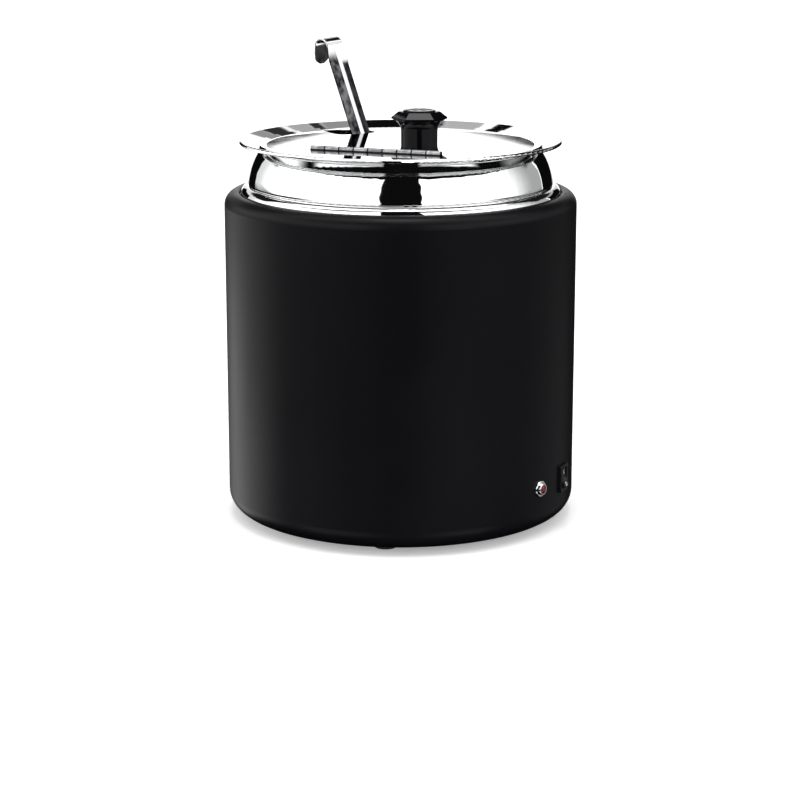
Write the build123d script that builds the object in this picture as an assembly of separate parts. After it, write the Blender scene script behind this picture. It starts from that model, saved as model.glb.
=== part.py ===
"""Electric soup kettle: a round body with a water-bath well, a lift-out pot, a hinged lid and a ladle.

Millimetres. The origin is on the table under the middle of the kettle, +Z is up and -Y is the front.
An azimuth is counted from the front towards the right-hand side (+X).
"""

from build123d import *
import math
import os

# --- driving dimensions ---------------------------------------------------------------------
FOOT_HEIGHT = 4
BODY_RADIUS = 135
SHELL_THICKNESS = 1.0
SHELL_BOTTOM_FILLET = 15
SHELL_SHOULDER_FILLET = 9.5
SHELL_TOP = 252.5
STEEL = 0.8
CLEARANCE = 0.05

# Mouth of the shell: a ledge, a seal on it, and the rolled edge of the well on the seal.
MOUTH_RADIUS = 123.3
LEDGE_TOP = 250
LEDGE_INNER_RADIUS = 114
SHELL_FLOOR_HOLE_RADIUS = 96
SEAL_TOP = 251.2
BEAD_OUTER_RADIUS = 122.4
BEAD_TOP = 257.5
WELL_RADIUS = 110.5
WELL_FLOOR = 50.8
WELL_UNDERSIDE = WELL_FLOOR - STEEL

# Pot
POT_UNDERSIDE = 60
POT_BASE_RADIUS = 104.5
POT_BODY_RADIUS = 108.2
NECK_BASE_RADIUS = 116.7
NECK_BELLY = (115.26, 273.71)
NECK_BELLY_FILLET = 52
THROAT = (105.9, 287.0)
LIP_ROLL = 1.5
LIP_RADIUS = 123.1
RIM_TOP = 292

# Lid: a flat panel, and a rim that slopes up and lies on the flare of the pot.
LID_RADIUS = 108
LID_RIM_TOP = 289.24
LID_PANEL_RADIUS = 102.6
LID_TOP = 287.8
LID_TURN = -20
HINGE_OFFSET = -54
SPLIT_GAP = 1.6
HINGE_LENGTH = 103
KNUCKLES = 9
KNUCKLE_RADIUS = 2.4
KNUCKLE_GAP = 0.3
PIN_RADIUS = 1.0
LEAF_WIDTH = 15
LEAF_UNDERSIDE = LID_TOP - 2 * STEEL
HINGE_HEIGHT = LEAF_UNDERSIDE + KNUCKLE_RADIUS

# Knob
KNOB_OFFSET = 38
KNOB_SIDE = 1.6
KNOB_NECK_RADIUS = 14.3
KNOB_FLANGE_RADIUS = 21.8
KNOB_EDGE_BOTTOM = 15.3
KNOB_EDGE_TOP = 16.3
KNOB_PLATEAU = 20.7
KNOB_SLOPE = 48
KNOB_CAP_RADIUS = 12.6
KNOB_HEIGHT = 22
INSERT_RADIUS = 3.0
INSERT_LENGTH = 10
KNOB_SCREW_RADIUS = 2.0

# Ladle: the handle crosses the lid's plane at this place and leans out through the notch.
HANDLE_CROSSING = Vector(-30.7, 71.0, LID_TOP)
HANDLE_LEAN = Vector(-0.32, 0.24, 1)
HANDLE_TURN = 43
HANDLE_WIDTH = 18.5
HANDLE_THICKNESS = 1.5
HANDLE_FLANGE = 2.4
HANDLE_STRAIGHT_TOP = 73
HANDLE_BOTTOM = -231
FLANGE_TOP = 52
FLANGE_BOTTOM = -205
HOOK_RADIUS = 8.5
HOOK_TIP = 13
BOWL_RADIUS = 36
BOWL_DEPTH = 32
BOWL_WALL = 1.0
BOWL_RIM = -213
NOTCH_AZIMUTH = 207.8
NOTCH_WIDTH = 34.5
NOTCH_CORNER = 8
NOTCH_INNER_RADIUS = 70

# Fittings on the wall of the shell
FITTING_HEIGHT = 38.5
FITTING_PLAY = 0.1
INDICATOR_AZIMUTH = 51
INDICATOR_BARREL_RADIUS = 4.8
SWITCH_AZIMUTH = 66.6
SWITCH_BODY = (13.0, 19.2)
ROCKER_THROW = 24
INLET_AZIMUTH = 150
INLET_HEIGHT = 44
INLET_BODY = (20, 27.5)
INLET_SCREW_OFFSET = 20
INLET_SCREW_HOLE = 1.7

# Base plate, feet and tie rods
SHELL_FLOOR = FOOT_HEIGHT + SHELL_THICKNESS
BASE_PLATE_THICKNESS = 1
BASE_PLATE_TOP = SHELL_FLOOR + BASE_PLATE_THICKNESS
BASE_PLATE_RADIUS = 116
FEET = [(-6 + 90 * index) for index in range(4)]
FOOT_NODES = ["foot_front", "foot_right", "foot_back", "foot_left"]
FOOT_PLACE_RADIUS = 107
FOOT_RADIUS = 9
FOOT_SCREW_HOLE = 2.1
TIE_RODS = [39 + 90 * index for index in range(4)]
TIE_ROD_PLACE_RADIUS = 88
TIE_ROD_RADIUS = 2.5

# Heater stack under the well
SPREADER_RADIUS = 78
SPREADER_THICKNESS = 3
SPREADER_UNDERSIDE = WELL_UNDERSIDE - SPREADER_THICKNESS
ELEMENT_RING_RADIUS = 55
ELEMENT_TUBE_RADIUS = 4
ELEMENT_HEIGHT = SPREADER_UNDERSIDE - ELEMENT_TUBE_RADIUS
ELEMENT_GAP = 36
ELEMENT_BEND = 8
ELEMENT_LEG = 6
TERMINAL_LENGTH = 7
CLAMP_TOP = ELEMENT_HEIGHT - ELEMENT_TUBE_RADIUS
CLAMP_THICKNESS = 1.5
STUD_PLACE_RADIUS = 38
STUD_RADIUS = 2.5
SENSOR_PLACES = [-12, 12]
SENSOR_SCREW_PLACE = 12
SENSOR_FLANGE_DROP = 5
SENSOR_TAB_BOTTOM = SPREADER_UNDERSIDE - 19.1
WIRE_RADIUS = 1.2
LAMP_WIRE_RADIUS = 0.8

NODES = {}


# --- helpers --------------------------------------------------------------------------------
def polar(radius, azimuth, height=0):
    """A point at this radius and azimuth."""
    angle = math.radians(azimuth)
    return Vector(radius * math.sin(angle), -radius * math.cos(angle), height)


def wall_plane(azimuth, radius, height):
    """A plane that faces outward at this azimuth, with its own Y axis up."""
    return Plane(origin=polar(radius, azimuth, height), x_dir=polar(1, azimuth + 90), z_dir=polar(1, azimuth))


def spun_sheet(points, radii, thickness):
    """Spins a sheet about the vertical axis. Its (radius, height) points have the metal on their left."""
    face_line = FilletPolyline(*points, radius=radii)
    return revolve(Plane.XZ * make_face(offset(face_line, amount=thickness, side=Side.LEFT)), Axis.Z)


def post(radius, low, high, x=0, y=0):
    """An upright cylinder between two heights."""
    return Pos(x, y, low) * extrude(Circle(radius), high - low)


def tube(outer, inner, low, high):
    """An upright tube between two heights."""
    return Pos(0, 0, low) * extrude(Circle(outer) - Circle(inner), high - low)


def hex_nut(across_flats, hole_radius, thickness):
    """A nut with chamfered corners, standing on the XY plane."""
    corner_radius = across_flats / math.sqrt(3)
    body = extrude(RegularPolygon(corner_radius, 6), thickness)
    chamfered = chamfer(extrude(Circle(corner_radius), thickness).edges(), 0.35)
    return (body & chamfered) - extrude(Circle(hole_radius), thickness)


def pan_screw(head_radius, head_height, shank_radius, shank_length):
    """A pan-head screw with a cross recess: the head stands on the XY plane and the shank hangs below."""
    head = fillet(extrude(Circle(head_radius), head_height).edges().sort_by(Axis.Z)[-1], head_height * 0.45)
    shank = Pos(0, 0, -shank_length) * extrude(Circle(shank_radius), shank_length)
    recess_depth = head_height * 0.6
    cross = Rectangle(head_radius * 1.1, head_radius * 0.3) + Rectangle(head_radius * 0.3, head_radius * 1.1)
    return head + shank - Pos(0, 0, head_height - recess_depth) * extrude(cross, recess_depth)


def lid_plane(height=0):
    """The lid's own plane: its X axis runs along the hinge and its Y axis points to the knob."""
    return Plane(origin=(0, 0, height), x_dir=Vector(1, 0, 0).rotate(Axis.Z, LID_TURN), z_dir=(0, 0, 1))


def handle_plane():
    """The ladle's side plane: X along the handle, Y outward on the hook's side, Z across the handle."""
    along = HANDLE_LEAN.normalized()
    level = Vector(math.cos(math.radians(HANDLE_TURN)), math.sin(math.radians(HANDLE_TURN)), 0)
    across = (level - along * level.dot(along)).normalized()
    return Plane(origin=HANDLE_CROSSING, x_dir=along, z_dir=-across)


def wire(points, radius):
    """A round wire through the points, with each bend as wide as its two runs allow."""
    bends = []
    for before, here, after in zip(points, points[1:], points[2:]):
        turn = math.radians((here - before).get_angle(after - here))
        shorter_run = min((here - before).length, (after - here).length)
        bends.append(0.45 * shorter_run / math.tan(turn / 2))
    path = FilletPolyline(*points, radius=bends)
    solid = sweep(Plane(origin=path @ 0, z_dir=path % 0) * Circle(radius), path=path)
    expected = math.pi * radius**2 * path.length
    print("wire bends", [round(bend, 1) for bend in bends], "volume ratio", round(solid.volume / expected, 4))
    return solid


def keep(name, shape):
    """Keeps a finished piece under its node's name."""
    NODES[name] = shape


# --- body -----------------------------------------------------------------------------------
def make_shell():
    """The black outer shell, with its holes for the fittings, the inlet and the feet."""
    shell = spun_sheet(
        [
            (SHELL_FLOOR_HOLE_RADIUS, FOOT_HEIGHT),
            (BODY_RADIUS, FOOT_HEIGHT),
            (BODY_RADIUS, SHELL_TOP),
            (MOUTH_RADIUS, SHELL_TOP),
            (MOUTH_RADIUS, LEDGE_TOP),
            (LEDGE_INNER_RADIUS, LEDGE_TOP),
        ],
        [SHELL_BOTTOM_FILLET, SHELL_SHOULDER_FILLET, 1.5, 0.5],
        SHELL_THICKNESS,
    )
    play = 2 * FITTING_PLAY
    inlet_holes = Rectangle(INLET_BODY[0] + 2 * play, INLET_BODY[1] + 2 * play)
    for side in (-1, 1):
        inlet_holes += Pos(0, INLET_SCREW_OFFSET * side) * Circle(INLET_SCREW_HOLE)
    holes = [
        (indicator_plane(), Circle(INDICATOR_BARREL_RADIUS + play)),
        (switch_plane(), Rectangle(SWITCH_BODY[0] + play, SWITCH_BODY[1] + play)),
        (inlet_plane(), inlet_holes),
    ]
    through = 2 * SHELL_THICKNESS
    for here, outline in holes:
        shell -= here * Pos(0, 0, -through) * extrude(outline, 2 * through)
    for azimuth in FEET:
        place = polar(FOOT_PLACE_RADIUS, azimuth)
        shell -= post(FOOT_SCREW_HOLE, FOOT_HEIGHT, SHELL_FLOOR, place.X, place.Y)
    keep("outer_shell", shell)


def make_well():
    """The water-bath well with its rolled edge, the seal under that edge and the insulation round it."""
    well = spun_sheet(
        [
            (BEAD_OUTER_RADIUS, SEAL_TOP),
            (BEAD_OUTER_RADIUS, BEAD_TOP),
            (WELL_RADIUS, BEAD_TOP),
            (WELL_RADIUS, WELL_FLOOR),
            (0, WELL_FLOOR),
        ],
        [6.2, 5, 12],
        STEEL,
    )
    keep("well", well)
    keep("well_seal", tube(BEAD_OUTER_RADIUS, BEAD_OUTER_RADIUS - 5, LEDGE_TOP, SEAL_TOP))
    keep("insulation_sleeve", tube(120, WELL_RADIUS + STEEL + 0.2, 70, 240))


def make_base():
    """The vented base plate, the four feet and the screws and nuts that hold them."""
    plate = post(BASE_PLATE_RADIUS, SHELL_FLOOR, BASE_PLATE_TOP)
    vents = 16
    for index in range(vents):
        vent = Pos(44, 0, SHELL_FLOOR) * extrude(SlotOverall(28, 3), BASE_PLATE_THICKNESS)
        plate -= Rot(0, 0, 360 / vents * index) * vent
    for azimuth in TIE_RODS:
        place = polar(TIE_ROD_PLACE_RADIUS, azimuth)
        plate -= post(TIE_ROD_RADIUS + 0.2, SHELL_FLOOR, BASE_PLATE_TOP, place.X, place.Y)
    earth = earth_place()
    plate -= post(FOOT_SCREW_HOLE, SHELL_FLOOR, BASE_PLATE_TOP, earth.X, earth.Y)
    screws = []
    nuts = []
    head_top = 2.4
    for node, azimuth in zip(FOOT_NODES, FEET):
        place = polar(FOOT_PLACE_RADIUS, azimuth)
        plate -= post(FOOT_SCREW_HOLE, SHELL_FLOOR, BASE_PLATE_TOP, place.X, place.Y)
        foot = post(FOOT_RADIUS, 0, FOOT_HEIGHT)
        foot = fillet(foot.edges().sort_by(Axis.Z)[0], 1.2)
        foot -= post(4.3, 0, head_top)
        foot -= post(FOOT_SCREW_HOLE, 0, FOOT_HEIGHT)
        keep(node, Pos(place.X, place.Y, 0) * foot)
        screw = pan_screw(3.9, 2.0, 2.0 - CLEARANCE, 9.6)
        screws.append(Pos(place.X, place.Y, head_top) * Rot(180, 0, 0) * screw)
        nuts.append(Pos(place.X, place.Y, BASE_PLATE_TOP) * hex_nut(7, 2.0, 3.2))
    keep("base_plate", plate)
    keep("foot_screws", Compound(children=screws))
    keep("foot_nuts", Compound(children=nuts))


def make_tie_rods():
    """Four threaded rods welded under the well, pulled down by nuts under the base plate."""
    rods = []
    nuts = []
    for azimuth in TIE_RODS:
        place = polar(TIE_ROD_PLACE_RADIUS, azimuth)
        rods.append(post(TIE_ROD_RADIUS - CLEARANCE, 0.8, WELL_UNDERSIDE, place.X, place.Y))
        nuts.append(Pos(place.X, place.Y, 1) * hex_nut(8, TIE_ROD_RADIUS, FOOT_HEIGHT))
    keep("tie_rods", Compound(children=rods))
    keep("tie_rod_nuts", Compound(children=nuts))


# --- heater ---------------------------------------------------------------------------------
def make_heater():
    """The heat spreader, the ring element held up by its clamp ring, and the clamp's studs and nuts."""
    spreader = post(SPREADER_RADIUS, SPREADER_UNDERSIDE, WELL_UNDERSIDE)
    clamp = tube(62, 30, CLAMP_TOP - CLAMP_THICKNESS, CLAMP_TOP)
    clamp -= Pos(0, ELEMENT_RING_RADIUS, CLAMP_TOP) * Box(40, 26, 4 * CLAMP_THICKNESS)
    studs = []
    nuts = []
    stud_bottom = CLAMP_TOP - 8
    for index in range(4):
        place = polar(STUD_PLACE_RADIUS, 45 + 90 * index)
        studs.append(post(STUD_RADIUS - CLEARANCE, stud_bottom, WELL_UNDERSIDE, place.X, place.Y))
        nuts.append(Pos(place.X, place.Y, CLAMP_TOP - CLAMP_THICKNESS - 4) * hex_nut(8, STUD_RADIUS, 4))
        hole = post(STUD_RADIUS, stud_bottom, WELL_UNDERSIDE, place.X, place.Y)
        spreader -= hole
        clamp -= hole
    for y in SENSOR_PLACES:
        for side in (-1, 1):
            spreader -= post(1.5, SPREADER_UNDERSIDE, SPREADER_UNDERSIDE + 2.5, SENSOR_SCREW_PLACE * side, y)
    keep("heat_spreader", spreader)
    keep("element_clamp", clamp)
    keep("clamp_studs", Compound(children=studs))
    keep("clamp_nuts", Compound(children=nuts))

    ring = CenterArc((0, 0, ELEMENT_HEIGHT), ELEMENT_RING_RADIUS, 90 + ELEMENT_GAP / 2, 360 - ELEMENT_GAP)
    pieces = [ring]
    ends = []
    for at, sign in ((1, 1), (0, -1)):
        start = ring @ at
        tangent = (ring % at) * sign
        corner = start + tangent * ELEMENT_BEND + Vector(0, 0, -ELEMENT_BEND)
        low = corner + Vector(0, 0, -ELEMENT_LEG)
        pieces.append(Edge.make_tangent_arc(start, tangent, corner))
        pieces.append(Edge.make_line(corner, low))
        ends.append(low)
    path = Wire(pieces)
    section = Plane(origin=path @ 0, z_dir=path % 0) * Circle(ELEMENT_TUBE_RADIUS)
    keep("heating_element", sweep(section, path=path))
    pins = [post(1.6, end.Z - TERMINAL_LENGTH, end.Z, end.X, end.Y) for end in ends]
    keep("element_terminals", Compound(children=pins))
    return [end + Vector(0, 0, -TERMINAL_LENGTH) for end in ends]


def disc_sensor(y):
    """A snap-disc switch against the spreader: metal cap, moulded body, mounting strap and two tabs."""
    sensor = post(7.8, SPREADER_UNDERSIDE - 11, SPREADER_UNDERSIDE, 0, y)
    strap = SlotOverall(30, 11)
    tab_height = 8.2
    for side in (-1, 1):
        strap -= Pos(SENSOR_SCREW_PLACE * side, 0) * Circle(1.7)
        sensor += Pos(4 * side, y, SENSOR_TAB_BOTTOM + tab_height / 2) * Box(0.8, 6.3, tab_height)
    return sensor + Pos(0, y, SPREADER_UNDERSIDE - SENSOR_FLANGE_DROP) * extrude(strap, 0.8)


def make_sensors():
    """The thermostat, the thermal cut-out and the four screws that hold them to the spreader."""
    screws = []
    for node, y in zip(("thermostat", "thermal_cutout"), SENSOR_PLACES):
        keep(node, disc_sensor(y))
        for side in (-1, 1):
            head = Pos(SENSOR_SCREW_PLACE * side, y, SPREADER_UNDERSIDE - SENSOR_FLANGE_DROP) * Rot(180, 0, 0)
            screws.append(head * pan_screw(2.7, 1.8, 1.5 - CLEARANCE, 7))
    keep("sensor_screws", Compound(children=screws))


# --- fittings on the wall -------------------------------------------------------------------
def indicator_plane():
    """Where the indicator lamp sits on the shell."""
    return wall_plane(INDICATOR_AZIMUTH, BODY_RADIUS, FITTING_HEIGHT)


def switch_plane():
    """Where the rocker switch sits on the shell."""
    return wall_plane(SWITCH_AZIMUTH, BODY_RADIUS, FITTING_HEIGHT)


def inlet_plane():
    """Where the mains inlet sits on the shell."""
    return wall_plane(INLET_AZIMUTH, BODY_RADIUS, INLET_HEIGHT)


def make_indicator():
    """The indicator lamp: threaded bezel, domed lens, bulb and nut."""
    here = indicator_plane()
    bezel = fillet(extrude(Circle(6.3), 1.5).edges().sort_by(Axis.Z)[-1], 0.8)
    collar = fillet(extrude(Circle(4.5), 3.4).edges().sort_by(Axis.Z)[-1], 0.7)
    barrel_length = 14
    barrel = Pos(0, 0, -barrel_length) * extrude(Circle(INDICATOR_BARREL_RADIUS), barrel_length)
    bore = Pos(0, 0, -barrel_length) * extrude(Circle(3.25), barrel_length + 4)
    keep("indicator_bezel", here * (bezel + collar + barrel - bore))
    lens = fillet(extrude(Circle(3.2), 3.6).edges().sort_by(Axis.Z)[-1], 1.8)
    keep("indicator_lens", here * Pos(0, 0, 0.4) * lens)
    bulb = fillet(extrude(Circle(2.6), 11).edges().sort_by(Axis.Z)[-1], 2.2)
    keep("indicator_bulb", here * Pos(0, 0, -12) * bulb)
    nut = hex_nut(13, INDICATOR_BARREL_RADIUS + CLEARANCE, 2.5)
    keep("indicator_nut", here * Pos(0, 0, -3.8) * nut)


def make_switch():
    """The rocker switch: housing with its bezel, two tabs, and the rocker on its own pivot."""
    here = switch_plane()
    bezel = fillet(extrude(RectangleRounded(15.4, 21.4, 1.2), 2.0).edges().group_by(Axis.Z)[-1], 0.6)
    body = Pos(0, 0, -13) * extrude(Rectangle(*SWITCH_BODY), 13)
    pocket = Pos(0, 0, -6) * extrude(Rectangle(9.6, 16.4), 9)
    pivot_height = -0.6
    pivot = Pos(-6, 0, pivot_height) * Rot(0, 90, 0) * extrude(Circle(1.3), 12)
    keep("switch_housing", here * (bezel + body - pocket - pivot))
    tabs = [here * Pos(0, 5 * side, -17) * Box(4.8, 0.8, 8) for side in (-1, 1)]
    keep("switch_tabs", Compound(children=tabs))

    face = Polyline(
        (-7.2, 3.2), (0, 2.0), (7.2, 3.2), (7.2, -0.6), (2.8, -4.0), (-2.8, -4.0), (-7.2, -0.6), close=True
    )
    side_plane = Plane(origin=(-4.6, 0, 0), x_dir=(0, 1, 0), z_dir=(1, 0, 0))
    rocker = extrude(side_plane * make_face(face), 9.2)
    rocker += Pos(-5.8, 0, 0) * Rot(0, 90, 0) * extrude(Circle(1.25), 11.6)
    off_tilt = -ROCKER_THROW / 2
    keep("switch_rocker", here * Pos(0, 0, pivot_height) * Rot(off_tilt, 0, 0) * rocker)


def make_inlet():
    """The mains inlet: moulded housing with its socket, three pins, and two screws with nuts."""
    here = inlet_plane()
    flange = fillet(extrude(RectangleRounded(22, 48, 4), 2.5).edges().group_by(Axis.Z)[-1], 0.8)
    body = Pos(0, 0, -18) * extrude(RectangleRounded(*INLET_BODY, 1.0), 18)
    socket_outline = make_face(
        Polyline((-8.2, -8), (-4, -12.2), (8.2, -12.2), (8.2, 12.2), (-4, 12.2), (-8.2, 8), close=True)
    )
    socket = Pos(0, 0, -13) * extrude(socket_outline, 16)
    housing = flange + body - socket
    pins = []
    for x, y in ((-2, 0), (2, 7), (2, -7)):
        pins.append(here * Pos(x, y, -12.5) * Box(4, 2, 21))
        housing -= Pos(x, y, -15.5) * Box(4 + 2 * CLEARANCE, 2 + 2 * CLEARANCE, 6)
    screws = []
    nuts = []
    for side in (-1, 1):
        place = Pos(0, INLET_SCREW_OFFSET * side, 0)
        housing -= place * extrude(Circle(INLET_SCREW_HOLE), 2.5)
        screws.append(here * place * Pos(0, 0, 2.5) * pan_screw(2.8, 1.9, 1.5 - CLEARANCE, 7.5))
        nuts.append(here * place * Pos(0, 0, -3.6) * hex_nut(5.5, 1.5, 2.4))
    keep("inlet_housing", here * housing)
    keep("inlet_pins", Compound(children=pins))
    keep("inlet_screws", Compound(children=screws))
    keep("inlet_nuts", Compound(children=nuts))


def earth_place():
    """Where the earth screw goes through the base plate."""
    return polar(80, 165)


def make_wiring(element_ends):
    """The earth screw and the wires between the inlet, the switch, the sensors, the lamp and the element."""
    earth = earth_place()
    tag_thickness = 1.0
    screw = pan_screw(3.9, 2.4, 2.0 - CLEARANCE, 4.2)
    keep("earth_screw", Pos(earth.X, earth.Y, BASE_PLATE_TOP + tag_thickness) * screw)
    ring = Circle(4.5) + Pos(8, 0) * Rectangle(9, 4) - Circle(FOOT_SCREW_HOLE)
    keep("earth_tag", Pos(earth.X, earth.Y, BASE_PLATE_TOP) * extrude(ring, tag_thickness))

    inlet = inlet_plane()
    switch = switch_plane()
    lamp = indicator_plane()
    live = inlet.from_local_coords((2, 7, -23))
    neutral = inlet.from_local_coords((2, -7, -23))
    ground = inlet.from_local_coords((-2, 0, -23))
    switch_in = switch.from_local_coords((0, 5, -21))
    switch_out = switch.from_local_coords((0, -5, -21))
    routes = {
        "wire_live": [
            live, polar(106.5, 151.5, 48), polar(103.5, 147, 40), polar(103, 135, 32), polar(103, 118, 28),
            polar(103, 101, 27), polar(104, 86, 30), polar(107, 74, 37), switch_in,
        ],
        "wire_switched": [
            switch_out, polar(107, 65, 32), polar(97, 60, 28), polar(82, 55, 21), polar(64, 50, 17),
            polar(44, 42, 15), polar(26, 30, 16), Vector(5.5, -14.5, 21), Vector(4, -12, SENSOR_TAB_BOTTOM),
        ],
        "wire_link": [
            Vector(-4, -12, SENSOR_TAB_BOTTOM), Vector(-4.6, -11, 22), Vector(-6, -6, 17.5),
            Vector(-6.5, 0.5, 16), Vector(-6, 6, 17.5), Vector(-4.6, 11, 22),
            Vector(-4, 12, SENSOR_TAB_BOTTOM),
        ],
        "wire_heater": [
            Vector(4, 12, SENSOR_TAB_BOTTOM), Vector(4.5, 14, 21), Vector(6.5, 22, 15.5), Vector(9, 34, 13),
            Vector(10.5, 45, 14), Vector(10, 53, 17.5), element_ends[0],
        ],
        "wire_neutral": [
            neutral, polar(106, 151, 35.5), polar(97, 152.5, 29), polar(84, 156, 21), polar(68, 165, 15),
            polar(58, 178, 14), polar(54.5, 187, 17), element_ends[1],
        ],
        "wire_earth": [
            ground, polar(106.5, 152, 41), polar(102, 155.5, 33), polar(97, 158, 23), polar(91, 158.5, 13.5),
            polar(87, 157.5, 9), Vector(earth.X + 12.6, earth.Y, BASE_PLATE_TOP + 1.4),
        ],
    }
    for node, points in routes.items():
        keep(node, wire(points, WIRE_RADIUS))
    lamp_routes = {
        "wire_lamp_neutral": [
            lamp.from_local_coords((-1.2, 0, -12)), polar(116, 51.5, 37), polar(110, 54.5, 30),
            polar(105, 61, 22), polar(103, 72, 18), polar(102, 88, 16), polar(101.5, 105, 16),
            polar(101, 122, 17), polar(101, 138, 20), polar(104, 146, 26),
            inlet.from_local_coords((2, -8.9, -20)),
        ],
        "wire_lamp_live": [
            lamp.from_local_coords((1.2, 0, -12)), polar(116, 52.4, 37.6), polar(110.5, 56.5, 34),
            polar(110.5, 62, 31.5), switch.from_local_coords((0, -6.2, -16)),
        ],
    }
    for node, points in lamp_routes.items():
        keep(node, wire(points, LAMP_WIRE_RADIUS))


# --- pot ------------------------------------------------------------------------------------
def make_pot():
    """The lift-out pot: body, step that rests on the well, bulging neck, flared rim and rolled lip."""
    flare_end_radius = LIP_RADIUS - LIP_ROLL
    sheet = spun_sheet(
        [
            (0, POT_UNDERSIDE),
            (POT_BASE_RADIUS, POT_UNDERSIDE),
            (POT_BODY_RADIUS, BEAD_TOP),
            (NECK_BASE_RADIUS, BEAD_TOP),
            NECK_BELLY,
            THROAT,
            (flare_end_radius, RIM_TOP - STEEL),
        ],
        [20, 0.6, 1.0, NECK_BELLY_FILLET, 1.5],
        STEEL,
    )
    lip = revolve(Plane.XZ * Pos(flare_end_radius, RIM_TOP - LIP_ROLL) * Circle(LIP_ROLL), Axis.Z)
    keep("inner_pot", sheet + lip)


# --- lid ------------------------------------------------------------------------------------
def lid_pressing():
    """The whole lid before it is cut: a flat panel inside its sloping rim."""
    return spun_sheet([(LID_RADIUS, LID_RIM_TOP), (LID_PANEL_RADIUS, LID_TOP), (0, LID_TOP)], [4], STEEL)


def make_lid():
    """The fixed front segment and the rear flap, with the hinge's slot and the holes for ladle and knob."""
    pressing = lid_pressing()
    low = LID_TOP - 10
    here = lid_plane(low)
    half_gap = SPLIT_GAP / 2
    reach = 2 * LID_RADIUS
    slot_half_width = KNUCKLE_RADIUS + 0.3
    slot = Pos(0, HINGE_OFFSET) * Rectangle(HINGE_LENGTH + 1.5, 2 * slot_half_width)
    front = Pos(0, HINGE_OFFSET - half_gap - reach / 2) * Rectangle(2 * reach, reach) - slot
    rear = Pos(0, HINGE_OFFSET + half_gap + reach / 2) * Rectangle(2 * reach, reach) - slot
    rear -= Pos(KNOB_SIDE, KNOB_OFFSET) * Circle(KNOB_SCREW_RADIUS + 0.2)
    keep("lid_segment", pressing & here * extrude(front, 20))
    flap = pressing & here * extrude(rear, 20)
    notch = RectangleRounded(LID_RADIUS, NOTCH_WIDTH, NOTCH_CORNER)
    notch = Pos(NOTCH_INNER_RADIUS + LID_RADIUS / 2, 0) * notch
    flap -= Pos(0, 0, low) * Rot(0, 0, NOTCH_AZIMUTH - 90) * extrude(notch, 20)
    keep("lid_flap", flap)


def hinge_leaf(side, own_knuckles):
    """One leaf under the lid sheet: side -1 is the front leaf, +1 the rear one."""
    pitch = HINGE_LENGTH / KNUCKLES
    start = KNUCKLE_RADIUS + 0.5
    middle = HINGE_OFFSET + side * (start + LEAF_WIDTH) / 2
    leaf = Pos(0, middle) * extrude(Rectangle(HINGE_LENGTH, LEAF_WIDTH - start), STEEL)
    for index in own_knuckles:
        x = (index + 0.5) * pitch - HINGE_LENGTH / 2
        width = pitch - KNUCKLE_GAP
        leaf += Pos(x, HINGE_OFFSET + side * start / 2, STEEL / 2) * Box(width, start, STEEL)
        roll = extrude(Circle(KNUCKLE_RADIUS), width)
        leaf += Pos(x - width / 2, HINGE_OFFSET, KNUCKLE_RADIUS) * Rot(0, 90, 0) * roll
    bore = extrude(Circle(PIN_RADIUS + CLEARANCE), HINGE_LENGTH + 10)
    leaf -= Pos(-HINGE_LENGTH / 2 - 5, HINGE_OFFSET, KNUCKLE_RADIUS) * Rot(0, 90, 0) * bore
    return lid_plane(LEAF_UNDERSIDE) * leaf


def make_hinge():
    """The piano hinge: alternate knuckles on the two leaves, and the pin through them."""
    keep("hinge_leaf_front", hinge_leaf(-1, range(0, KNUCKLES, 2)))
    keep("hinge_leaf_rear", hinge_leaf(1, range(1, KNUCKLES, 2)))
    length = HINGE_LENGTH + 0.8
    pin = extrude(Circle(PIN_RADIUS), length)
    pin = chamfer(pin.edges(), 0.25)
    keep("hinge_pin", lid_plane(HINGE_HEIGHT) * Pos(-length / 2, HINGE_OFFSET, 0) * Rot(0, 90, 0) * pin)


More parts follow.
